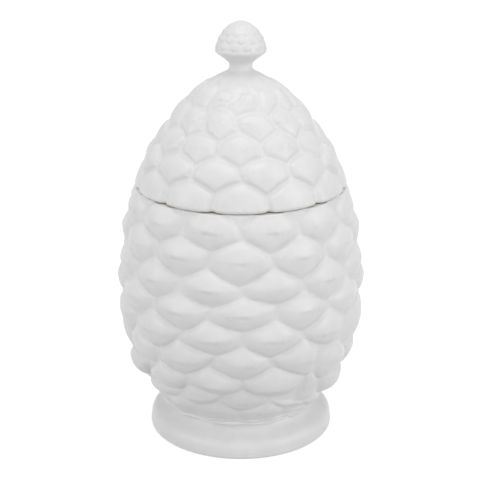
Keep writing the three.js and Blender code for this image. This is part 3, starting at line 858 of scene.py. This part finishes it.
def make_lid():
    """The scaled dome, with a wiped seat and the collar that goes down into the mouth"""
    mesh = bmesh.new()
    cover = Cover(
        lid_outline, LID_ROWS, RIM, LID_HEIGHT, CROWN, RIM - LID_OVERRUN, 1, LID_BOWS, LID_RIDGE,
        LID_STRAYS,
    )
    cover_with_scales(mesh, cover, lid_relief, LID_STEPS)
    soften(mesh, 1)
    lip = RIM + SEAT_RELIEF
    cut_level(mesh, lip + LID_EASE, -1)
    seat = draw_on(mesh, open_edge(mesh, lip + LID_EASE), ease(lip, LID_EASE, -1))
    seat = draw_on(mesh, seat, [(COLLAR_RADIUS + SEAT_WIDTH, RIM), (COLLAR_RADIUS, RIM)], BARE)
    seat = draw_on(mesh, seat, [(COLLAR_RADIUS, COLLAR_END + EDGE_EASE)], BARE)
    collar = draw_on(mesh, seat, ease(COLLAR_END, EDGE_EASE, -1), BARE)
    bore = [(COLLAR_BORE + EDGE_EASE, COLLAR_END), (COLLAR_BORE, COLLAR_END + EDGE_EASE)]
    collar = draw_on(mesh, collar, bore, BARE)
    ceiling = CROWN - CROWN_WALL
    hollow = [
        (radius, height) for radius, height in inside_of(lid_outline, LID_WALL, RIM, CROWN, 24)
        if radius < COLLAR_BORE and height < ceiling - 1
    ]
    last = hollow[-1][0]
    hollow += [(last * 0.8, ceiling), (last * 0.3, ceiling)]
    close_middle(mesh, draw_on(mesh, collar, [(COLLAR_BORE, RIM)] + hollow))
    close_middle(mesh, draw_on(mesh, open_edge(mesh, CROWN), [(KNOB_SEAT_RADIUS / 3, CROWN)]))
    settle(mesh)
    return finish_piece("scaled_lid", mesh, [GLAZE, CLAY], "lid_set", "lid_glaze", "lid")


KNOB_UNDERRUN = 0.2     # the knob's scales begin this far below the widest part of its cap
KNOB_TOP = 0.97         # and end at this share of its height


def make_knob():
    """A small cone of its own on a waisted neck, luted on the crown of the lid"""
    mesh = bmesh.new()
    cap_base = CROWN + CAP_LEVEL - KNOB_UNDERRUN
    cap_top = CROWN + KNOB_TOP * KNOB_HEIGHT
    cover = Cover(
        knob_outline, KNOB_ROWS, CROWN, KNOB_HEIGHT, cap_top, cap_base, 0, KNOB_BOWS, LID_RIDGE, {},
    )
    cover_with_scales(mesh, cover, knob_relief, KNOB_STEPS)
    soften(mesh, 1)
    crown = [lerp(cap_top, CREST, k / 4) for k in (1, 2, 3)]
    crown = [(knob_outline(height), height) for height in crown]
    close_middle(mesh, draw_on(mesh, open_edge(mesh, cap_top), crown))
    neck = [lerp(cap_base, CROWN, k / 20) for k in range(1, 21)]
    neck = [(knob_outline(height), height) for height in neck] + [(KNOB_SEAT_RADIUS / 3, CROWN)]
    close_middle(mesh, draw_on(mesh, open_edge(mesh, cap_base), neck))
    return finish_piece("cone_knob", mesh, [GLAZE], "lid_set", "knob_glaze", "lid_knob")


# The foot

def bezier(a, b, c, d, steps=10):
    """Points along a curve from a to d, with b and c as its handles"""
    found = []
    for k in range(steps + 1):
        t = k / steps
        weights = ((1 - t) ** 3, 3 * t * (1 - t) ** 2, 3 * t * t * (1 - t), t ** 3)
        found.append(tuple(sum(w * p[axis] for w, p in zip(weights, (a, b, c, d))) for axis in (0, 1)))
    return found


FOOT_RADIUS = 63.0
FOOT_RIM = 6.0          # width of the ring that the jar stands on
FOOT_SIDE = 5.0         # height of the upright side
FOOT_TAPER = 0.4        # by which the side leans in
FOOT_BORE = 43.0        # radius of the opening under the cone's floor
FLANGE = 5.5            # thickness of the shelf that the cone is luted to
FOOT_EASE = 1.5
SHOULDER_HANDLE = 10.0  # the curve of the shoulder starts upright over this height
COVE_HANDLE = (3.0, 8.5)                # and ends under the cone in this direction: out and down
FLANGE_HANDLE = 8.0     # the curve of the hollow starts level under the flange over this width
STANDING_RING = 0.1     # what lies lower than this is wiped bare


def make_foot():
    """A ring with an upright side, a soft shoulder that runs in under the cone, and a hollow"""
    inner = FOOT_RADIUS - FOOT_RIM
    side_radius = FOOT_RADIUS - FOOT_TAPER
    arc = [math.pi / 2 * k / 5 for k in range(6)]
    section = [(inner + FOOT_EASE, 0)]
    section += [
        (FOOT_RADIUS - FOOT_EASE + FOOT_EASE * math.sin(t), FOOT_EASE - FOOT_EASE * math.cos(t)) for t in arc
    ]
    section += bezier(
        (side_radius, FOOT_SIDE), (side_radius, FOOT_SIDE + SHOULDER_HANDLE),
        (HEM_RADIUS + COVE_HANDLE[0], HEM - COVE_HANDLE[1]), (HEM_RADIUS, HEM), 20,
    )
    section += bezier(
        (FOOT_BORE, HEM), (FOOT_BORE, HEM - FLANGE), (FOOT_BORE + FLANGE_HANDLE, HEM - FLANGE),
        (inner, FOOT_SIDE),
    )
    section += [(inner, FOOT_EASE)]
    mesh = bmesh.new()
    points = [mesh.verts.new(metres(radius, 0, height)) for radius, height in section]
    lines = [mesh.edges.new((a, b)) for a, b in zip(points, points[1:] + points[:1])]
    bmesh.ops.spin(
        mesh, geom=points + lines, cent=(0, 0, 0), axis=(0, 0, 1), angle=2 * math.pi, steps=180,
        use_merge=True,
    )
    for face in mesh.faces:
        if face.calc_center_median().z < STANDING_RING * MM:
            face.material_index = BARE
    return finish_piece("round_foot", mesh, [GLAZE, CLAY], "jar", "foot_glaze", "foot_ring")


# The studio

def make_studio():
    """White paper all round, which the camera sees as white"""
    mesh = bmesh.new()
    bmesh.ops.create_grid(mesh, x_segments=1, y_segments=1, size=4.0)
    data = bpy.data.meshes.new("floor")
    mesh.to_mesh(data)
    mesh.free()
    data.materials.append(studio_white())
    floor = bpy.data.objects.new("floor", data)
    bpy.context.scene.collection.objects.link(floor)

    world = bpy.data.worlds.new("studio")
    bpy.context.scene.world = world
    world.use_nodes = True
    tree = world.node_tree
    tree.nodes.clear()
    seen = add(tree, "ShaderNodeLightPath")
    direct = add(tree, "ShaderNodeMath", {
        0: seen["Is Camera Ray"], 1: seen["Is Transmission Ray"],
    }, operation="MAXIMUM")[0]
    air = add(tree, "ShaderNodeBackground", {"Color": linear(WHITE), "Strength": 0.65})
    paper = add(tree, "ShaderNodeBackground", {"Color": linear(WHITE), "Strength": 1.0})
    both = add(tree, "ShaderNodeMixShader", {0: direct, 1: air["Background"], 2: paper["Background"]})
    add(tree, "ShaderNodeOutputWorld", {"Surface": both["Shader"]})


bpy.context.scene.view_settings.view_transform = "Standard"
make_cone()
make_lid()
make_knob()
make_foot()
make_studio()
